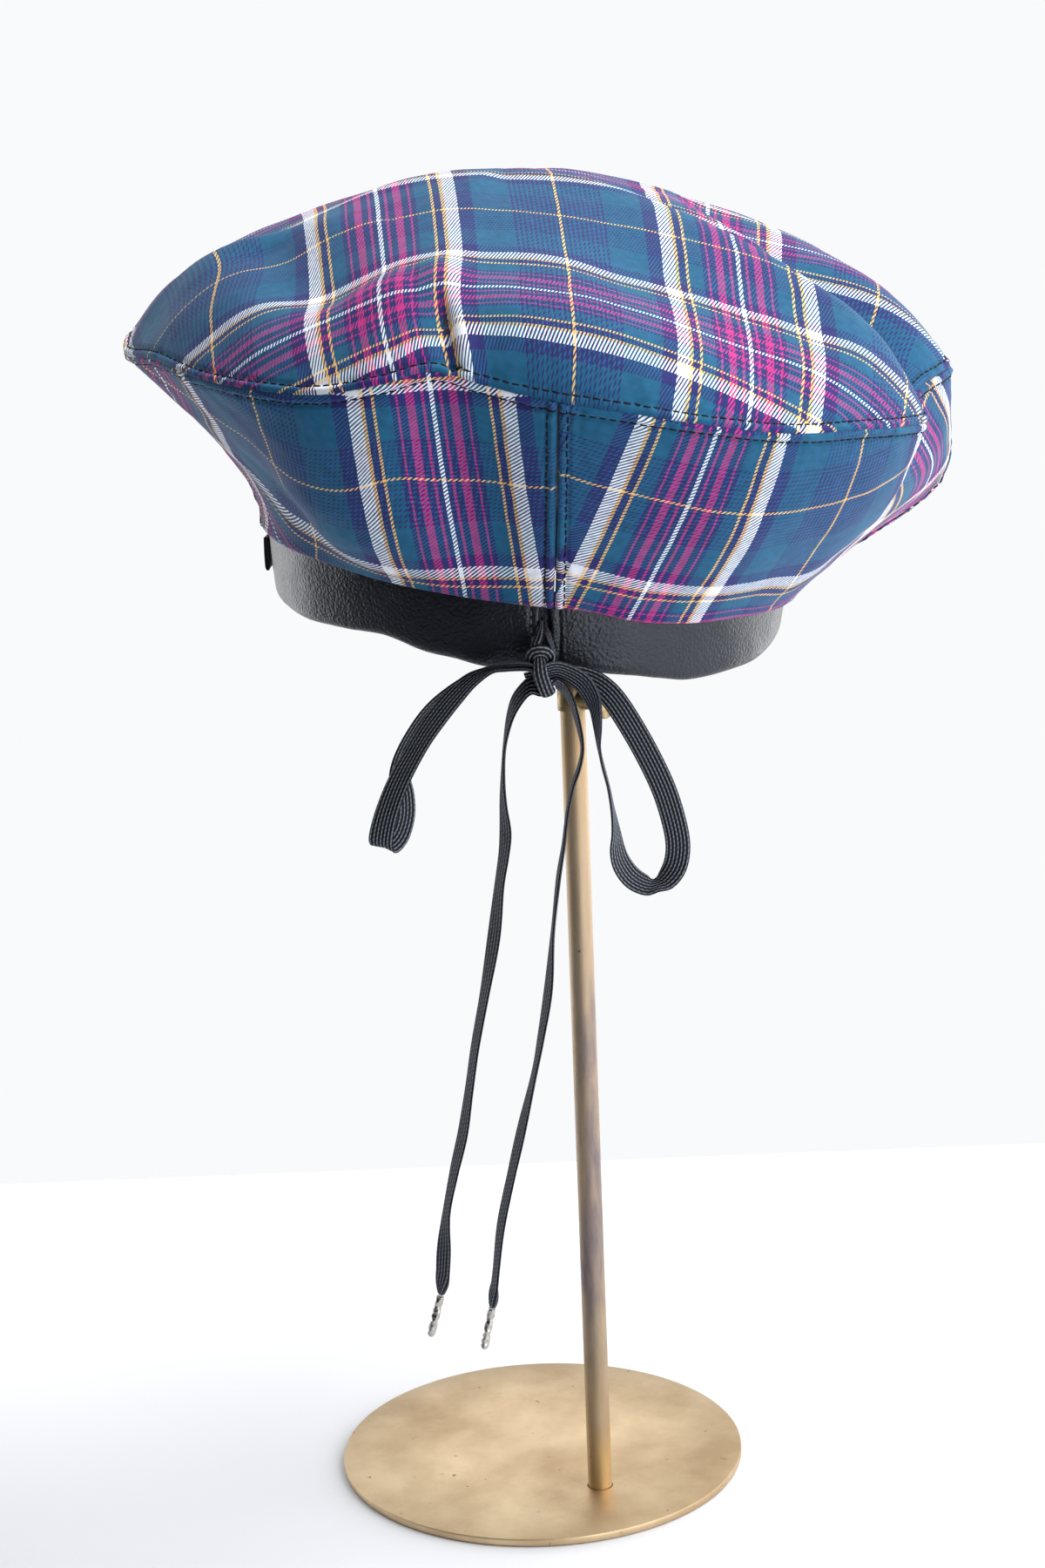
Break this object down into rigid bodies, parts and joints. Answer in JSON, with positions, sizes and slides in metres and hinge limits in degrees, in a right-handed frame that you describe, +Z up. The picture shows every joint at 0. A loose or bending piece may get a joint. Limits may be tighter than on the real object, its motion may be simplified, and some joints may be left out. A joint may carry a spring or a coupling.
{
  "type": "tam o'shanter hat on a plain brass hat stand",
  "caption": "Soft wide-crowned hat with a curved four-panel underside, a folded headband and a bow of flat lace, held on a round-footed display stand",
  "frame": {"origin": "centre of the stand's round foot, on its flat underside", "axes": "+Z up along the pole, -Y towards the back of the hat, where its seam and bow are, +X to the right of a viewer who faces the bow"},
  "size_m": [0.2878, 0.2851, 0.491],
  "materials": {
    "tartan_twill": "woven twill in a teal, navy, magenta, orange and white tartan, matt",
    "black_leather": "soft pebbled black leather, slight sheen",
    "black_felt": "black folded tab, matt and slightly fuzzy",
    "charcoal_lace": "flat woven lace with lengthwise ribs, matt charcoal",
    "silver_tip": "crimped thin metal tip",
    "antique_brass": "mottled antique brass, satin"
  },
  "bodies": {
    "root": {"crown_panel": "tartan_twill", "under_panel_back_left": "tartan_twill", "under_panel_back_right": "tartan_twill", "under_panel_front_left": "tartan_twill", "under_panel_front_right": "tartan_twill", "leather_band": "black_leather", "side_tag": "black_felt", "draw_lace": "charcoal_lace", "lace_knot": "charcoal_lace", "lace_loop_left": "charcoal_lace", "lace_loop_right": "charcoal_lace", "lace_tail_left": "charcoal_lace", "lace_tail_right": "charcoal_lace", "aglet_left": "silver_tip", "aglet_right": "silver_tip", "base_disc": "antique_brass", "pole_tube": "antique_brass", "clamp_collar": "antique_brass", "thumb_screw": "antique_brass", "head_post": "antique_brass"}
  },
  "joints": []
}
